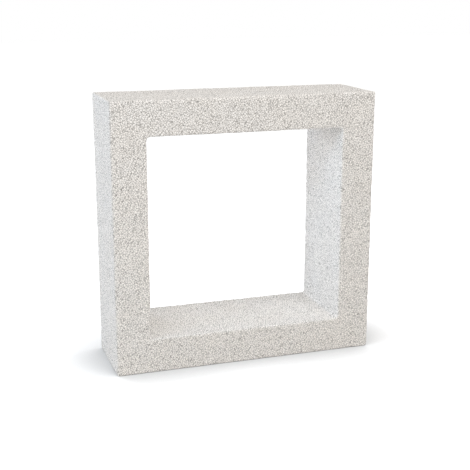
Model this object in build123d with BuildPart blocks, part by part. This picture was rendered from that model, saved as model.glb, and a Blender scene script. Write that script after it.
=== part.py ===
from build123d import *
import os

# Square-frame concrete breeze block, cast in one piece around a tapered core.
# Millimetres. +Z is up, +X is to the right and the show face looks towards -Y.
# The origin is at the middle of the bed face that the block stands on.

# Overall block
block_width = 290.0
block_height = 290.0
block_depth = 90.0

# Thickness of the four bars, on the show face and on the back face
front_bar = 37.5
back_bar = 42.0

# Rounding of the core's four corners and of the block's arrises
core_corner_radius = 3.5
outer_arris_radius = 1.6
opening_arris_radius = 1.6

# Upright planes at half the block's height, looking out of the show face
middle_plane = Plane(origin=(0, 0, block_height / 2), x_dir=(1, 0, 0), z_dir=(0, -1, 0))
show_plane = middle_plane.offset(block_depth / 2)
back_plane = middle_plane.offset(-block_depth / 2)

with BuildPart() as breeze_block:
    # Outer envelope, extruded from the back face to the show face
    with BuildSketch(back_plane):
        Rectangle(block_width, block_height)
    extrude(amount=block_depth)
    fillet(breeze_block.edges(), radius=outer_arris_radius)

    # Opening left by the core, which narrows towards the back so that it can be drawn out
    with BuildSketch(show_plane):
        RectangleRounded(block_width - 2 * front_bar, block_height - 2 * front_bar, core_corner_radius)
    with BuildSketch(back_plane):
        RectangleRounded(block_width - 2 * back_bar, block_height - 2 * back_bar, core_corner_radius)
    loft(mode=Mode.SUBTRACT)

    # Rounded arris around both mouths of the opening
    faces_through_depth = breeze_block.faces().sort_by(Axis.Y)
    show_mouth = faces_through_depth[0].inner_wires().edges()
    back_mouth = faces_through_depth[-1].inner_wires().edges()
    fillet(show_mouth + back_mouth, radius=opening_arris_radius)

breeze_block.part.label = "breeze_block"
os.makedirs("parts", exist_ok=True)
export_step(breeze_block.part, "parts/breeze_block.step")
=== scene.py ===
"""Looks of a square concrete breeze block: its cast relief, finish, floor, light and camera."""

import logging
import math
from dataclasses import dataclass, field
from enum import Enum
from typing import Optional, Union

import bpy
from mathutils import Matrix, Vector


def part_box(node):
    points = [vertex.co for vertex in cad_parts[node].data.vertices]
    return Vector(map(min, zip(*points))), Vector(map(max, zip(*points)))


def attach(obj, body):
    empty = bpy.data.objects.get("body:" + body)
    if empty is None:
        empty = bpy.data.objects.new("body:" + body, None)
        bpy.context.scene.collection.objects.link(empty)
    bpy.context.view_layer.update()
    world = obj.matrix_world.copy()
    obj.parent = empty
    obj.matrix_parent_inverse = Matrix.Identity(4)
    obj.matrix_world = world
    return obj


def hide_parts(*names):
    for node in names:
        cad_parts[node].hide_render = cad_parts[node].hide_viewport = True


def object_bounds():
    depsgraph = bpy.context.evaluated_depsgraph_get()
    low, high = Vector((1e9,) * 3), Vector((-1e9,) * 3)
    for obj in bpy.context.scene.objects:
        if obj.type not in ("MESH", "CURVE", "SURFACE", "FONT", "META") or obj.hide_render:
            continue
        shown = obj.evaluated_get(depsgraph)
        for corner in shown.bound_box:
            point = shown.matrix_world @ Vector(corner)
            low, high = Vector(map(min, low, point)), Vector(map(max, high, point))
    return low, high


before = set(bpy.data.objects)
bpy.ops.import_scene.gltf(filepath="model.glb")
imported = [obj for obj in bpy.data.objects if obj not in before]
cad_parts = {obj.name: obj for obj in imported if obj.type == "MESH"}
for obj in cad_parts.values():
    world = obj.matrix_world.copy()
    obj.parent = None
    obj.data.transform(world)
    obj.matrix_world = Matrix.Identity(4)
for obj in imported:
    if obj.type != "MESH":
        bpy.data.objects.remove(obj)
cad_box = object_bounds()

log = logging.getLogger("breeze_block")

Socket = bpy.types.NodeSocket
Colour = tuple[float, float, float]
Feed = Union[Socket, float, int, str, tuple, bpy.types.Material]
Feeds = dict[Union[str, int], Feed]

MILLIMETRES_PER_METRE = 1000.0
INDEX_TOLERANCE = 0.5
WHITE: Colour = (1.0, 1.0, 1.0)


def opaque(colour: Colour) -> tuple[float, float, float, float]:
    """Adds full opacity to a colour."""
    return (*colour, 1.0)


class MixKind(Enum):
    """Kinds of Mix node: the data type, and the numbers of its first value's and its result's sockets."""

    NUMBER = ("FLOAT", 2, 0)
    VECTOR = ("VECTOR", 4, 1)
    COLOUR = ("RGBA", 6, 2)


class NodeWeb:
    """Adds nodes to a tree and wires them, so that a tree reads like a formula."""

    def __init__(self, tree: bpy.types.NodeTree) -> None:
        """Starts on an empty tree.

        Args:
            tree: the node tree to fill; nodes that it already holds are removed.
        """
        self.tree = tree
        self.tree.nodes.clear()

    def feed(self, socket: Socket, value: Feed) -> None:
        """Links a socket to another one, or sets its constant.

        Args:
            socket: the input socket.
            value: an output socket to link, or a plain value.
        """
        if isinstance(value, Socket):
            self.tree.links.new(value, socket)
        else:
            socket.default_value = value

    def node(self, kind: str, feeds: Optional[Feeds] = None, **settings: object) -> bpy.types.Node:
        """Adds a node.

        Args:
            kind: the node's class name.
            feeds: what goes into its sockets, by socket name or number.
            **settings: the node's own properties.

        Returns:
            The new node.
        """
        node = self.tree.nodes.new(kind)
        for name, value in settings.items():
            setattr(node, name, value)
        for key, value in (feeds or {}).items():
            self.feed(node.inputs[key], value)
        return node

    def maths(self, operation: str, *terms: Feed) -> Socket:
        """Adds a Math node.

        Args:
            operation: the operation's name.
            *terms: its operands, in order.

        Returns:
            The result's socket.
        """
        return self.node("ShaderNodeMath", dict(enumerate(terms)), operation=operation).outputs[0]

    def vector(self, operation: str, *terms: Feed) -> Socket:
        """Adds a Vector Math node.

        Args:
            operation: the operation's name.
            *terms: its operands, in order.

        Returns:
            The vector result, or the number where the operation gives one.
        """
        node = self.node("ShaderNodeVectorMath", dict(enumerate(terms)), operation=operation)
        return node.outputs["Value" if operation == "DOT_PRODUCT" else "Vector"]

    def mix(self, kind: MixKind, share: Feed, first: Feed, second: Feed, how: str = "MIX") -> Socket:
        """Mixes two numbers, vectors or colours.

        Args:
            kind: which of these they are.
            share: 0 for the first alone, 1 for the full mix.
            first: the first one, or the colour below.
            second: the second one, or the colour laid over it.
            how: the blend type's name, for colours.

        Returns:
            The mixed number, vector or colour.
        """
        data_type, first_input, result = kind.value
        feeds = {0: share, first_input: first, first_input + 1: second}
        return self.node("ShaderNodeMix", feeds, data_type=data_type, blend_type=how).outputs[result]

    def inverse(self, value: Feed) -> Feed:
        """Gives one over a number, which stays a plain number where it is one."""
        return self.maths("DIVIDE", 1.0, value) if isinstance(value, Socket) else 1.0 / value

    def noise(self, point: Socket, size: Feed, detail: float) -> bpy.types.Node:
        """Adds a Noise Texture node.

        Args:
            point: where it is read.
            size: the size of its largest lumps, in the point's units.
            detail: how many finer layers it has.

        Returns:
            The noise node.
        """
        feeds = {"Vector": point, "Scale": self.inverse(size), "Detail": detail}
        return self.node("ShaderNodeTexNoise", feeds)

    def ease(self, value: Feed, low: Feed, high: Feed) -> Socket:
        """Rises smoothly from 0 at low to 1 at high, or falls where low is the larger one.

        Args:
            value: the number to map.
            low: where the result is 0.
            high: where the result is 1.

        Returns:
            The eased number.
        """
        feeds = {"Value": value, "From Min": low, "From Max": high}
        return self.node("ShaderNodeMapRange", feeds, interpolation_type="SMOOTHSTEP").outputs[0]

    def parts(self, vector: Socket) -> tuple[Socket, Socket, Socket]:
        """Splits a vector into its three numbers."""
        split = self.node("ShaderNodeSeparateXYZ", {0: vector})
        return split.outputs[0], split.outputs[1], split.outputs[2]


class SurfaceMark(Enum):
    """Marks that the loft stores on the mesh and the finish reads."""

    ARRIS = "arris"
    CORE = "core"


class GrainTone(Enum):
    """Tones of the sand grains: the share of grains that are darker, and the tone's linear colour."""

    GREY = (0.0, (0.815, 0.776, 0.736))
    MIDDLE = (0.25, (0.845, 0.805, 0.763))
    PALE = (0.7, (0.875, 0.835, 0.791))

    @property
    def start(self) -> float:
        """The share of grains that are darker than this tone."""
        return self.value[0]

    @property
    def colour(self) -> Colour:
        """The tone's linear colour."""
        return self.value[1]


@dataclass(frozen=True)
class GrainField:
    """What the material's nodes know of a place on the block.

    The point is in millimetres. The draw is one random number for each grain, the edge is the distance
    to the nearest gap, in grains, the paste is a fine noise, and the hole is a mask of the pin holes.
    """

    point: Socket
    draw: Socket
    edge: Socket
    paste: Socket
    hole: Socket


@dataclass(frozen=True)
class ConcreteFinish:
    """Light grey cast concrete of even small grains, with dark gaps between them and pin holes.

    Sizes and spacings are in millimetres. The width of a gap and the reach of a grain's dome are in
    grains, and the reach of a pin hole is in spacings. The dome, the stand of the grains, the paste and
    the pin holes make the bump, as shares of its height.
    """

    name: str = "cast_concrete"
    grain_size: float = 2.1
    grain_randomness: float = 0.8
    lattice_turn_deg: tuple[float, float, float] = (38.1, 19.1, 38.1)
    ragged_size: float = 0.8
    ragged_detail: float = 1.0
    ragged_reach: float = 1.2
    dome_reach: float = 0.3
    stand_least: float = 0.4
    stand_spread: float = 0.6
    gap_least: float = 0.01
    gap_most: float = 0.24
    gap_strength: float = 0.95
    gap_colour: Colour = (0.15, 0.137, 0.122)
    pin_hole_spacing: float = 5.0
    pin_hole_reach: float = 0.13
    pin_hole_share: float = 0.4
    pin_hole_depth: float = 1.2
    pin_hole_colour: Colour = (0.25, 0.225, 0.2)
    paste_size: float = 0.55
    paste_detail: float = 2.0
    paste_noise_low: float = 0.3
    paste_noise_high: float = 0.7
    paste_dark: float = 0.88
    paste_light: float = 1.1
    paste_relief: float = 0.3
    mottle_size: float = 38.0
    mottle_detail: float = 3.0
    cool_mottle: Colour = (0.965, 0.975, 0.985)
    warm_mottle: Colour = (1.0, 0.985, 0.96)
    # Arrises are lightened partly for wear and partly as a painted highlight along the edges
    arris_wear_and_highlight_colour: Colour = (0.92, 0.89, 0.85)
    arris_wear_and_highlight_strength: float = 0.08
    # Core faces washed brighter and bluer: partly paler paste, partly painted cool light
    core_paste_and_cool_light: Colour = (1.09, 1.11, 1.135)
    roughness_low: float = 0.82
    roughness_high: float = 0.97
    specular_level: float = 0.25
    bump_height: float = 0.32
    bump_strength: float = 0.55

    def material(self) -> bpy.types.Material:
        """Builds the material.

        Returns:
            The procedural concrete material.
        """
        material = bpy.data.materials.new(self.name)
        material.use_nodes = True
        web = NodeWeb(material.node_tree)
        place = web.node("ShaderNodeTexCoord").outputs["Object"]
        scale = (MILLIMETRES_PER_METRE,) * 3
        turn = tuple(math.radians(angle) for angle in self.lattice_turn_deg)
        feeds = {"Vector": place, "Rotation": turn, "Scale": scale}
        point = web.node("ShaderNodeMapping", feeds).outputs[0]

        grains = self.grains(web, point)
        bump_feeds = {
            "Strength": self.bump_strength,
            "Distance": self.bump_height / MILLIMETRES_PER_METRE,
            "Height": self.height(web, grains),
        }
        bump = web.node("ShaderNodeBump", bump_feeds)
        feeds = {"Value": grains.paste, "To Min": self.roughness_low, "To Max": self.roughness_high}
        roughness = web.node("ShaderNodeMapRange", feeds).outputs[0]
        shader_feeds = {
            "Base Color": self.colour(web, grains),
            "Roughness": roughness,
            "Specular IOR Level": self.specular_level,
            "Normal": bump.outputs[0],
        }
        shader = web.node("ShaderNodeBsdfPrincipled", shader_feeds)
        web.node("ShaderNodeOutputMaterial", {"Surface": shader.outputs[0]})
        return material

    def grains(self, web: NodeWeb, point: Socket) -> GrainField:
        """Packs grains with ragged outlines.

        Args:
            web: the material's nodes.
            point: the place on the block, in millimetres.

        Returns:
            The grains, their paste and the pin holes.
        """
        ragged = web.noise(point, self.ragged_size, self.ragged_detail).outputs["Color"]
        reach = (self.ragged_reach,) * 3
        pushed = web.vector("MULTIPLY_ADD", ragged, reach, point)
        feeds = {"Vector": pushed, "Scale": 1.0 / self.grain_size, "Randomness": self.grain_randomness}
        cells = web.node("ShaderNodeTexVoronoi", feeds)
        draw = web.parts(cells.outputs["Color"])[0]
        edge = web.node("ShaderNodeTexVoronoi", feeds, feature="DISTANCE_TO_EDGE").outputs["Distance"]
        paste = web.noise(point, self.paste_size, self.paste_detail).outputs[0]
        return GrainField(point, draw, edge, paste, self.pin_holes(web, point))

    def pin_holes(self, web: NodeWeb, point: Socket) -> Socket:
        """Lays small air holes over the surface.

        Args:
            web: the material's nodes.
            point: the place on the block, in millimetres.

        Returns:
            A mask, 1 in the middle of a hole.
        """
        cells = web.node("ShaderNodeTexVoronoi", {"Vector": point, "Scale": 1.0 / self.pin_hole_spacing})
        draw = web.parts(cells.outputs["Color"])[1]
        inside = web.ease(cells.outputs["Distance"], self.pin_hole_reach, 0.0)
        is_hole = web.maths("LESS_THAN", draw, self.pin_hole_share)
        return web.maths("MULTIPLY", inside, is_hole)

    def colour(self, web: NodeWeb, grains: GrainField) -> Socket:
        """Works out the colour of grains, gaps, holes, mottling, and of core faces and worn arrises with
        some painted light.

        Args:
            web: the material's nodes.
            grains: the grains.

        Returns:
            The base colour.
        """
        ramp = web.node("ShaderNodeValToRGB", {"Fac": grains.draw})
        ramp.color_ramp.interpolation = "CONSTANT"
        stops = ramp.color_ramp.elements
        while len(stops) < len(GrainTone):
            stops.new(1.0)
        for stop, tone in zip(stops, GrainTone):
            stop.position = tone.start
            stop.color = opaque(tone.colour)
        mottle = web.noise(grains.point, self.mottle_size, self.mottle_detail).outputs[0]
        wash = web.mix(MixKind.COLOUR, mottle, opaque(self.cool_mottle), opaque(self.warm_mottle))
        washed = web.mix(MixKind.COLOUR, 1.0, ramp.outputs["Color"], wash, "MULTIPLY")
        shade = self.by_paste(web, grains, self.paste_dark, self.paste_light)
        pasted = web.mix(MixKind.COLOUR, 1.0, washed, shade, "MULTIPLY")
        reach = self.by_paste(web, grains, self.gap_most, self.gap_least)
        gap = web.maths("MULTIPLY", web.ease(grains.edge, reach, 0.0), self.gap_strength)
        gapped = web.mix(MixKind.COLOUR, gap, pasted, opaque(self.gap_colour))
        holed = web.mix(MixKind.COLOUR, grains.hole, gapped, opaque(self.pin_hole_colour))
        # Core faces multiplied brighter and cooler: partly paler paste, partly painted cool light
        core = web.node("ShaderNodeAttribute", attribute_name=SurfaceMark.CORE.value).outputs["Fac"]
        core_paled_and_lit = web.mix(MixKind.COLOUR, core, holed, opaque(self.core_paste_and_cool_light), "MULTIPLY")
        # Convex arrises lightened: partly worn paste, partly a painted highlight
        arris = web.node("ShaderNodeAttribute", attribute_name=SurfaceMark.ARRIS.value).outputs["Fac"]
        wear_and_highlight = web.maths("MULTIPLY", arris, self.arris_wear_and_highlight_strength)
        return web.mix(MixKind.COLOUR, wear_and_highlight, core_paled_and_lit, opaque(self.arris_wear_and_highlight_colour))

    def by_paste(self, web: NodeWeb, grains: GrainField, at_low: float, at_high: float) -> Socket:
        """Makes a number follow the paste.

        Args:
            web: the material's nodes.
            grains: the grains and their paste.
            at_low: the number where the paste is thin.
            at_high: the number where the paste is thick.

        Returns:
            The number.
        """
        feeds = {"Value": grains.paste, "From Min": self.paste_noise_low, "From Max": self.paste_noise_high}
        feeds.update({"To Min": at_low, "To Max": at_high})
        return web.node("ShaderNodeMapRange", feeds).outputs[0]

    def height(self, web: NodeWeb, grains: GrainField) -> Socket:
        """Works out the fine relief that is too small for the mesh.

        Args:
            web: the material's nodes.
            grains: the grains.

        Returns:
            The height, as a share of the bump's height, and below 0 in a pin hole.
        """
        dome = web.ease(grains.edge, 0.0, self.dome_reach)
        stand = web.maths("MULTIPLY_ADD", grains.draw, self.stand_spread, self.stand_least)
        domes = web.maths("MULTIPLY", dome, stand)
        rough = web.maths("MULTIPLY_ADD", grains.paste, self.paste_relief, domes)
        return web.maths("SUBTRACT", rough, web.maths("MULTIPLY", grains.hole, self.pin_hole_depth))


@dataclass(frozen=True)
class CastRelief:
    """Relief of the cast surface, in metres, all of it cut inwards from the CAD surface.

    A range gives the values of a texture from which the relief deepens and at which it is full. The pit
    density is the number of pits on a square metre.
    """

    undulation_size: float = 0.045
    undulation_depth: float = 0.0002
    undulation_detail: float = 1.0
    undulation_range: tuple[float, float] = (0.25, 0.75)
    grain_size: float = 0.0036
    grain_depth: float = 0.00006
    grain_range: tuple[float, float] = (0.1, 0.8)
    pit_density: float = 500.0
    pit_radius_least: float = 0.0009
    pit_radius_most: float = 0.0019
    pit_depth: float = 0.0006
    chip_size: float = 0.007
    chip_depth: float = 0.0007
    chip_detail: float = 2.0
    chip_range: tuple[float, float] = (0.5, 0.72)
    arris_reach: float = 0.0008
    arris_blur_steps: int = 8
    seed: int = 11


@dataclass
class BreezeBlock:
    """The cast block: a square frame lofted round a tapered core, in metres.

    The steps are the faces along a side, a bar's width, the depth and each rounded corner, and the core's
    mark starts at a share of the way from the outside to the core.
    """

    node: str = "breeze_block"
    front_bar: float = 0.0375
    back_bar: float = 0.042
    core_corner_radius: float = 0.0035
    outer_arris: float = 0.0016
    mouth_arris: float = 0.0016
    side_steps: int = 148
    bar_steps: int = 22
    depth_steps: int = 52
    corner_steps: int = 3
    core_mark_start: float = 0.96
    weld_distance: float = 1e-5
    relief: CastRelief = field(default_factory=CastRelief)
    finish: ConcreteFinish = field(default_factory=ConcreteFinish)

    def inputs(self) -> dict[str, tuple[str, Feed]]:
        """Lists the loft's named inputs.

        Returns:
            The socket type and value of each input, by name.
        """
        low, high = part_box(self.node)
        real = "NodeSocketFloat"
        whole = "NodeSocketInt"
        relief = self.relief
        return {
            "Width": (real, high.x - low.x),
            "Depth": (real, high.y - low.y),
            "Height": (real, high.z - low.z),
            "Front Bar": (real, self.front_bar),
            "Back Bar": (real, self.back_bar),
            "Core Corner Radius": (real, self.core_corner_radius),
            "Outer Arris": (real, self.outer_arris),
            "Mouth Arris": (real, self.mouth_arris),
            "Side Steps": (whole, self.side_steps),
            "Bar Steps": (whole, self.bar_steps),
            "Depth Steps": (whole, self.depth_steps),
            "Corner Steps": (whole, self.corner_steps),
            "Undulation Size": (real, relief.undulation_size),
            "Undulation Depth": (real, relief.undulation_depth),
            "Grain Size": (real, relief.grain_size),
            "Grain Depth": (real, relief.grain_depth),
            "Pit Density": (real, relief.pit_density),
            "Pit Radius Least": (real, relief.pit_radius_least),
            "Pit Radius Most": (real, relief.pit_radius_most),
            "Pit Depth": (real, relief.pit_depth),
            "Chip Size": (real, relief.chip_size),
            "Chip Depth": (real, relief.chip_depth),
            "Arris Reach": (real, relief.arris_reach),
            "Seed": (whole, relief.seed),
            "Material": ("NodeSocketMaterial", self.finish.material()),
        }

    def tree(self, inputs: dict[str, tuple[str, Feed]]) -> bpy.types.NodeTree:
        """Builds the Geometry Nodes tree that lofts the block and cuts its relief.

        Args:
            inputs: the named inputs, as inputs() lists them.

        Returns:
            The finished tree.
        """
        tree = bpy.data.node_groups.new("breeze_block_loft", "GeometryNodeTree")
        for name, (kind, _) in inputs.items():
            tree.interface.new_socket(name=name, in_out="INPUT", socket_type=kind)
        tree.interface.new_socket(name="Block", in_out="OUTPUT", socket_type="NodeSocketGeometry")
        web = NodeWeb(tree)
        size = web.node("NodeGroupInput").outputs
        lofted = self.loft(web, size)
        marked = self.mark_arrises(web, size, lofted)
        depth = self.relief_depth(web, size, marked)
        normal = web.node("GeometryNodeInputNormal").outputs[0]
        feeds = {0: normal, "Scale": web.maths("MULTIPLY", depth, -1.0)}
        cut = web.node("ShaderNodeVectorMath", feeds, operation="SCALE")
        carved = web.node("GeometryNodeSetPosition", {"Geometry": marked, "Offset": cut.outputs[0]})
        smooth = web.node("GeometryNodeSetShadeSmooth", {"Geometry": carved.outputs[0]})
        real = web.node("GeometryNodeRealizeInstances", {"Geometry": smooth.outputs[0]})
        feeds = {"Geometry": real.outputs[0], "Material": size["Material"]}
        dressed = web.node("GeometryNodeSetMaterial", feeds)
        web.node("NodeGroupOutput", {"Block": dressed.outputs[0]})
        return tree

    def ring(self, web: NodeWeb, size: bpy.types.NodeOutputs, inset: Feed, radius: Socket) -> Socket:
        """Makes one closed outline of the frame, seen from the front.

        Args:
            web: the tree's nodes.
            size: the tree's inputs.
            inset: how far the outline lies inside the block's outside.
            radius: the rounding of its corners.

        Returns:
            The outline as a curve.
        """
        twice = web.maths("MULTIPLY", inset, 2.0)
        feeds = {
            "Width": web.maths("SUBTRACT", size["Width"], twice),
            "Height": web.maths("SUBTRACT", size["Height"], twice),
        }
        square = web.node("GeometryNodeCurvePrimitiveQuadrilateral", feeds)
        steps = size["Side Steps"]
        return self.divide(web, size, square.outputs[0], radius, steps, steps)

    def section(self, web: NodeWeb, size: bpy.types.NodeOutputs) -> Socket:
        """Makes the outline of a bar's section: X from outside to core, Y from front to back.

        Args:
            web: the tree's nodes.
            size: the tree's inputs.

        Returns:
            The section as a curve.
        """
        feeds = {"Width": size["Front Bar"], "Height": size["Depth"]}
        square = web.node("GeometryNodeCurvePrimitiveQuadrilateral", feeds)
        across = web.parts(web.node("GeometryNodeInputPosition").outputs[0])[0]
        at_core = web.maths("GREATER_THAN", across, 0.0)
        radius = web.mix(MixKind.NUMBER, at_core, size["Outer Arris"], size["Mouth Arris"])
        return self.divide(web, size, square.outputs[0], radius, size["Bar Steps"], size["Depth Steps"])

    def divide(self, web: NodeWeb, size: bpy.types.NodeOutputs, square: Socket, radius: Socket,
               even_steps: Socket, odd_steps: Socket) -> Socket:
        """Rounds the corners of a four-sided outline and divides its straight sides.

        Args:
            web: the tree's nodes.
            size: the tree's inputs.
            square: the outline.
            radius: the rounding of its corners.
            even_steps: how many steps its first and third side get.
            odd_steps: how many steps its second and fourth side get.

        Returns:
            The divided outline.
        """
        feeds = {"Curve": square, "Count": size["Corner Steps"], "Radius": radius}
        rounded = web.node("GeometryNodeFilletCurve", feeds, mode="POLY")
        index = web.node("GeometryNodeInputIndex").outputs[0]
        per_corner = web.maths("ADD", size["Corner Steps"], 1.0)
        corner = web.maths("FLOOR", web.maths("DIVIDE", index, per_corner))
        place = web.maths("MODULO", index, per_corner)
        starts_side = web.maths("COMPARE", place, size["Corner Steps"], INDEX_TOLERANCE)
        is_odd = web.maths("MODULO", corner, 2.0)
        steps = web.mix(MixKind.NUMBER, is_odd, even_steps, odd_steps)
        cuts = web.maths("MULTIPLY", starts_side, web.maths("SUBTRACT", steps, 1.0))
        feeds = {"Curve": rounded.outputs[0], "Cuts": cuts}
        return web.node("GeometryNodeSubdivideCurve", feeds).outputs[0]

    def loft(self, web: NodeWeb, size: bpy.types.NodeOutputs) -> Socket:
        """Lofts the section round the frame as one closed mesh of quads.

        Args:
            web: the tree's nodes.
            size: the tree's inputs.

        Returns:
            The plain block.
        """
        outside = self.ring(web, size, 0.0, size["Outer Arris"])
        core_front = self.ring(web, size, size["Front Bar"], size["Core Corner Radius"])
        core_back = self.ring(web, size, size["Back Bar"], size["Core Corner Radius"])
        section = self.section(web, size)

        corner = size["Corner Steps"]
        around = web.maths("MULTIPLY", web.maths("ADD", size["Side Steps"], corner), 4.0)
        sides = web.maths("ADD", size["Bar Steps"], size["Depth Steps"])
        across = web.maths("MULTIPLY_ADD", sides, 2.0, web.maths("MULTIPLY", corner, 4.0))
        columns = web.maths("ADD", around, 1.0)
        rows = web.maths("ADD", across, 1.0)
        grid = web.node("GeometryNodeMeshGrid", {"Vertices X": columns, "Vertices Y": rows})
        index = web.node("GeometryNodeInputIndex").outputs[0]
        column = web.maths("MODULO", web.maths("FLOOR", web.maths("DIVIDE", index, rows)), around)
        row = web.maths("MODULO", web.maths("MODULO", index, rows), across)

        bar_place, depth_place, _ = web.parts(self.sample(web, section, row))
        inward = web.maths("ADD", web.maths("DIVIDE", bar_place, size["Front Bar"]), 0.5)
        backward = web.maths("ADD", web.maths("DIVIDE", depth_place, size["Depth"]), 0.5)
        front_point = self.sample(web, core_front, column)
        back_point = self.sample(web, core_back, column)
        core_point = web.mix(MixKind.VECTOR, backward, front_point, back_point)
        outside_point = self.sample(web, outside, column)
        x, z, _ = web.parts(web.mix(MixKind.VECTOR, inward, outside_point, core_point))
        upright = web.maths("MULTIPLY_ADD", size["Height"], 0.5, z)
        place = web.node("ShaderNodeCombineXYZ", {0: x, 1: depth_place, 2: upright})
        feeds = {"Geometry": grid.outputs[0], "Position": place.outputs[0]}
        shaped = web.node("GeometryNodeSetPosition", feeds).outputs[0]
        in_core = web.ease(inward, self.core_mark_start, 1.0)
        feeds = {
            "Geometry": self.mark(web, shaped, SurfaceMark.CORE, in_core),
            "Distance": self.weld_distance,
        }
        return web.node("GeometryNodeMergeByDistance", feeds).outputs[0]

    def sample(self, web: NodeWeb, curve: Socket, index: Socket) -> Socket:
        """Reads a point of a curve.

        Args:
            web: the tree's nodes.
            curve: the curve.
            index: the number of the point.

        Returns:
            The point's place.
        """
        place = web.node("GeometryNodeInputPosition").outputs[0]
        feeds = {"Geometry": curve, "Value": place, "Index": index}
        return web.node("GeometryNodeSampleIndex", feeds, data_type="FLOAT_VECTOR").outputs[0]

    def mark_arrises(self, web: NodeWeb, size: bpy.types.NodeOutputs, block: Socket) -> Socket:
        """Marks how far each point stands proud of its neighbours: 0 on a face, up to 1 on an arris.

        Args:
            web: the tree's nodes.
            size: the tree's inputs.
            block: the plain block.

        Returns:
            The block with its arrises marked.
        """
        place = web.node("GeometryNodeInputPosition").outputs[0]
        normal = web.node("GeometryNodeInputNormal").outputs[0]
        feeds = {"Value": place, "Iterations": self.relief.arris_blur_steps}
        nearby = web.node("GeometryNodeBlurAttribute", feeds, data_type="FLOAT_VECTOR").outputs[0]
        proud = web.vector("DOT_PRODUCT", web.vector("SUBTRACT", place, nearby), normal)
        arris = web.ease(proud, 0.0, size["Arris Reach"])
        return self.mark(web, block, SurfaceMark.ARRIS, arris)

    def mark(self, web: NodeWeb, mesh: Socket, mark: SurfaceMark, share: Socket) -> Socket:
        """Stores a mark on the points of the mesh.

        Args:
            web: the tree's nodes.
            mesh: the mesh.
            mark: which mark it is.
            share: how far it holds at each point, 0 to 1.

        Returns:
            The marked mesh.
        """
        feeds = {"Geometry": mesh, "Name": mark.value, "Value": share}
        return web.node("GeometryNodeStoreNamedAttribute", feeds).outputs[0]

    def relief_depth(self, web: NodeWeb, size: bpy.types.NodeOutputs, block: Socket) -> Socket:
        """Adds up the undulation, grains, pits and chipped arrises.

        Args:
            web: the tree's nodes.
            size: the tree's inputs.
            block: the block with its arrises marked.

        Returns:
            How deep each point is cut in.
        """
        relief = self.relief
        place = web.node("GeometryNodeInputPosition").outputs[0]
        wave = web.noise(place, size["Undulation Size"], relief.undulation_detail).outputs[0]
        waved = web.ease(wave, *relief.undulation_range)
        feeds = {"Vector": place, "Scale": web.inverse(size["Grain Size"])}
        grain = web.node("ShaderNodeTexVoronoi", feeds).outputs["Distance"]
        grained = web.ease(grain, *relief.grain_range)
        chip = web.noise(place, size["Chip Size"], relief.chip_detail).outputs[0]
        arris = web.node("GeometryNodeInputNamedAttribute", {"Name": SurfaceMark.ARRIS.value}).outputs[0]
        bitten = web.maths("MULTIPLY", arris, web.ease(chip, *relief.chip_range))
        depth = web.maths("MULTIPLY", waved, size["Undulation Depth"])
        depth = web.maths("MULTIPLY_ADD", grained, size["Grain Depth"], depth)
        depth = web.maths("MULTIPLY_ADD", bitten, size["Chip Depth"], depth)
        return web.maths("MULTIPLY_ADD", self.pits(web, size, block), size["Pit Depth"], depth)

    def pits(self, web: NodeWeb, size: bpy.types.NodeOutputs, block: Socket) -> Socket:
        """Scatters air pits over the block.

        Args:
            web: the tree's nodes.
            size: the tree's inputs.
            block: the block's surface.

        Returns:
            How deep each point lies in a pit, 1 in the middle of the largest one.
        """
        feeds = {"Mesh": block, "Density": size["Pit Density"], "Seed": size["Seed"]}
        centres = web.node("GeometryNodeDistributePointsOnFaces", feeds).outputs[0]
        # Sockets 2 and 3 are the least and the most of a random number, and its result is output 1
        feeds = {2: size["Pit Radius Least"], 3: size["Pit Radius Most"], "Seed": size["Seed"]}
        draw = web.node("FunctionNodeRandomValue", feeds, data_type="FLOAT").outputs[1]
        nearest = web.node("GeometryNodeSampleNearest", {"Geometry": centres}).outputs[0]
        feeds = {"Geometry": centres, "Value": draw, "Index": nearest}
        radius = web.node("GeometryNodeSampleIndex", feeds, data_type="FLOAT").outputs[0]
        nearby = web.node("GeometryNodeProximity", {0: centres}, target_element="POINTS")
        bowl = web.ease(nearby.outputs["Distance"], radius, 0.0)
        return web.maths("MULTIPLY", bowl, web.maths("DIVIDE", radius, size["Pit Radius Most"]))

    def build(self) -> bpy.types.Object:
        """Runs the tree and keeps its result as a plain mesh.

        Returns:
            The block's piece.
        """
        inputs = self.inputs()
        tree = self.tree(inputs)
        piece = bpy.data.objects.new("cast_block", bpy.data.meshes.new("cast_block_seed"))
        bpy.context.scene.collection.objects.link(piece)
        modifier = piece.modifiers.new("loft", "NODES")
        modifier.node_group = tree
        for item in tree.interface.items_tree:
            if item.item_type == "SOCKET" and item.in_out == "INPUT":
                modifier[item.identifier] = inputs[item.name][1]
        graph = bpy.context.evaluated_depsgraph_get()
        mesh = bpy.data.meshes.new_from_object(
            piece.evaluated_get(graph), preserve_all_data_layers=True, depsgraph=graph
        )
        piece.modifiers.clear()
        mesh.name = "cast_block"
        piece.data = mesh
        return piece

    def dress(self, piece: bpy.types.Object) -> None:
        """Puts the piece in the CAD node's place.

        Args:
            piece: the finished block.
        """
        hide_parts(self.node)
        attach(piece, "root")


def seen_directly(web: NodeWeb) -> Socket:
    """Tells rays that show the background from those that light the block.

    Args:
        web: the nodes of the floor or the world.

    Returns:
        1 for a camera, glossy or transmission ray, and 0 for the rest.
    """
    path = web.node("ShaderNodeLightPath").outputs
    shown = web.maths("MAXIMUM", path["Is Camera Ray"], path["Is Glossy Ray"])
    return web.maths("MAXIMUM", shown, path["Is Transmission Ray"])


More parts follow.
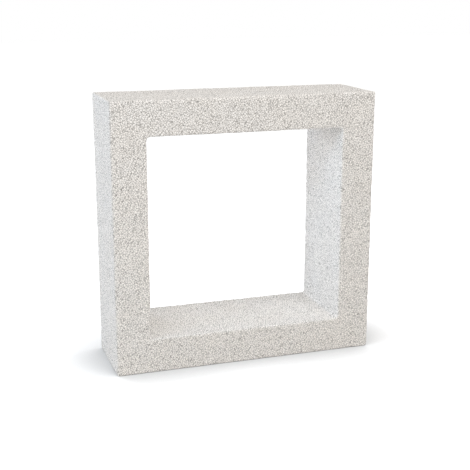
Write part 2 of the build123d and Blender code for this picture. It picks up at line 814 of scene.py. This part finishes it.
@dataclass(frozen=True)
class FloorFinish:
    """Matt white floor that shows as white away from the block and keeps its shadow, deepened near the
    block by a painted contact shadow.

    The contact reach is in metres.
    """

    name: str = "studio_floor"
    colour: Colour = (0.86, 0.86, 0.86)
    shown_colour: Colour = (0.55, 0.55, 0.55)
    shown_lift: float = 0.8
    contact_reach: float = 0.12
    contact_power: float = 2.5

    def material(self) -> bpy.types.Material:
        """Builds the material.

        Returns:
            The floor's material.
        """
        material = bpy.data.materials.new(self.name)
        material.use_nodes = True
        web = NodeWeb(material.node_tree)
        matt = web.node("ShaderNodeBsdfDiffuse", {"Color": opaque(self.colour)})
        shown = web.node("ShaderNodeBsdfDiffuse", {"Color": opaque(self.shown_colour)})
        # Painted contact shadow: the camera-seen glow is dimmed by occlusion near the block
        open_share = web.node("ShaderNodeAmbientOcclusion", {"Distance": self.contact_reach}).outputs["AO"]
        openness = web.maths("POWER", open_share, self.contact_power)
        strength = web.maths("MULTIPLY", openness, self.shown_lift)
        lift = web.node("ShaderNodeEmission", {"Strength": strength})
        lifted = web.node("ShaderNodeAddShader", {0: shown.outputs[0], 1: lift.outputs[0]})
        feeds = {0: seen_directly(web), 1: matt.outputs[0], 2: lifted.outputs[0]}
        mixed = web.node("ShaderNodeMixShader", feeds)
        web.node("ShaderNodeOutputMaterial", {"Surface": mixed.outputs[0]})
        return material


class LampRole(Enum):
    """Lamps of the studio, by what each one does."""

    WINDOW = "window_light"
    HIGH = "high_softbox"
    FRONT = "front_softbox"
    BACK = "back_softbox"
    SIDE = "side_softbox"


@dataclass(frozen=True)
class Softbox:
    """A square area lamp that looks at the block, in metres.

    The direction goes from the block to the lamp. The level is the brightness that a white card at the
    block, facing the lamp, would have if the lamp were small and white. A wide lamp gives somewhat less.
    """

    role: LampRole
    towards: tuple[float, float, float]
    distance: float
    width: float
    level: float
    colour: Colour = WHITE

    def build(self, target: Vector) -> bpy.types.Object:
        """Makes the lamp.

        Args:
            target: the point that it looks at.

        Returns:
            The lamp.
        """
        lamp = bpy.data.lights.new(self.role.value, "AREA")
        lamp.shape = "SQUARE"
        lamp.size = self.width
        lamp.color = self.colour
        lamp.energy = self.level * (math.pi * self.distance) ** 2
        piece = bpy.data.objects.new(self.role.value, lamp)
        direction = Vector(self.towards).normalized()
        piece.location = target + direction * self.distance
        piece.rotation_euler = direction.to_track_quat("Z", "Y").to_euler()
        piece.visible_camera = False
        bpy.context.scene.collection.objects.link(piece)
        return piece


@dataclass
class Studio:
    """Floor, sky and lamps round the block, in metres."""

    floor_half: float = 6.0
    sky_level: float = 0.43
    sky_colour: Colour = (1.0, 0.97, 0.93)
    floor_finish: FloorFinish = field(default_factory=FloorFinish)
    lamps: tuple[Softbox, ...] = (
        Softbox(
            LampRole.WINDOW, towards=(-0.826, -0.334, 0.454), distance=1.6, width=0.3,
            level=0.125, colour=(0.72, 1.0, 1.3),
        ),
        Softbox(LampRole.HIGH, towards=(0.1, -0.6, 1.0), distance=1.5, width=0.9, level=0.59),
        Softbox(LampRole.FRONT, towards=(-0.7, -1.0, 0.6), distance=1.6, width=0.6, level=0.13),
        Softbox(
            LampRole.BACK, towards=(-0.6, 0.9, 0.15), distance=1.6, width=0.8,
            level=0.6, colour=(0.92, 1.0, 1.12),
        ),
        Softbox(
            LampRole.SIDE, towards=(1.0, 0.15, 0.3), distance=1.6, width=1.2,
            level=0.19, colour=(0.91, 1.0, 1.12),
        ),
    )

    def build_floor(self) -> bpy.types.Object:
        """Lays the floor under the block.

        Returns:
            The floor.
        """
        half = self.floor_half
        corners = [(-half, -half, 0.0), (half, -half, 0.0), (half, half, 0.0), (-half, half, 0.0)]
        mesh = bpy.data.meshes.new("floor")
        mesh.from_pydata(corners, [], [(0, 1, 2, 3)])
        mesh.materials.append(self.floor_finish.material())
        floor = bpy.data.objects.new("floor", mesh)
        bpy.context.scene.collection.objects.link(floor)
        return floor

    def build_sky(self) -> None:
        """Sets a soft even sky that shows as white."""
        world = bpy.data.worlds.new("studio_sky")
        world.use_nodes = True
        bpy.context.scene.world = world
        web = NodeWeb(world.node_tree)
        feeds = {"Color": opaque(self.sky_colour), "Strength": self.sky_level}
        light = web.node("ShaderNodeBackground", feeds)
        white = web.node("ShaderNodeBackground", {"Color": opaque(WHITE), "Strength": 1.0})
        feeds = {0: seen_directly(web), 1: light.outputs[0], 2: white.outputs[0]}
        mixed = web.node("ShaderNodeMixShader", feeds)
        web.node("ShaderNodeOutputWorld", {"Surface": mixed.outputs[0]})

    def build(self, target: Vector) -> None:
        """Builds the whole studio.

        Args:
            target: the middle of the block.
        """
        floor = self.build_floor()
        log.info("%s: %.1f m across", floor.name, 2 * self.floor_half)
        self.build_sky()
        for lamp in self.lamps:
            piece = lamp.build(target)
            log.info("%s: level %.2f", piece.name, lamp.level)
        bpy.context.scene.view_settings.view_transform = "Standard"


@dataclass(frozen=True)
class PhotoCamera:
    """The photograph's viewpoint, in metres: in front of the block, to its left and above it."""

    place: tuple[float, float, float] = (-0.3296, -0.9851, 0.4016)
    turn_right_deg: float = 18.54
    tilt_down_deg: float = 14.56
    focal_length_px: float = 966.8
    image_px: float = 470.0
    sensor_mm: float = 36.0
    nearest: float = 0.01

    def build(self) -> bpy.types.Object:
        """Makes the camera and sets it as the scene's.

        Returns:
            The camera.
        """
        lens = bpy.data.cameras.new("photo_camera")
        lens.sensor_width = self.sensor_mm
        lens.lens = self.sensor_mm * self.focal_length_px / self.image_px
        lens.clip_start = self.nearest
        turn = math.radians(self.turn_right_deg)
        tilt = math.radians(self.tilt_down_deg)
        level = math.cos(tilt)
        looking = Vector((math.sin(turn) * level, math.cos(turn) * level, -math.sin(tilt)))
        camera = bpy.data.objects.new("photo_camera", lens)
        camera.location = self.place
        camera.rotation_euler = looking.to_track_quat("-Z", "Y").to_euler()
        bpy.context.scene.collection.objects.link(camera)
        bpy.context.scene.camera = camera
        return camera


def main() -> None:
    """Builds the block, the studio and the camera."""
    logging.basicConfig(level=logging.INFO, format="%(name)s: %(message)s")
    block = BreezeBlock()
    piece = block.build()
    block.dress(piece)
    log.info("%s: %d faces", piece.name, len(piece.data.polygons))
    low, high = cad_box
    Studio().build((low + high) / 2)
    camera = PhotoCamera().build()
    log.info("%s: lens %.1f mm", camera.name, camera.data.lens)


if __name__ == "__main__":
    main()
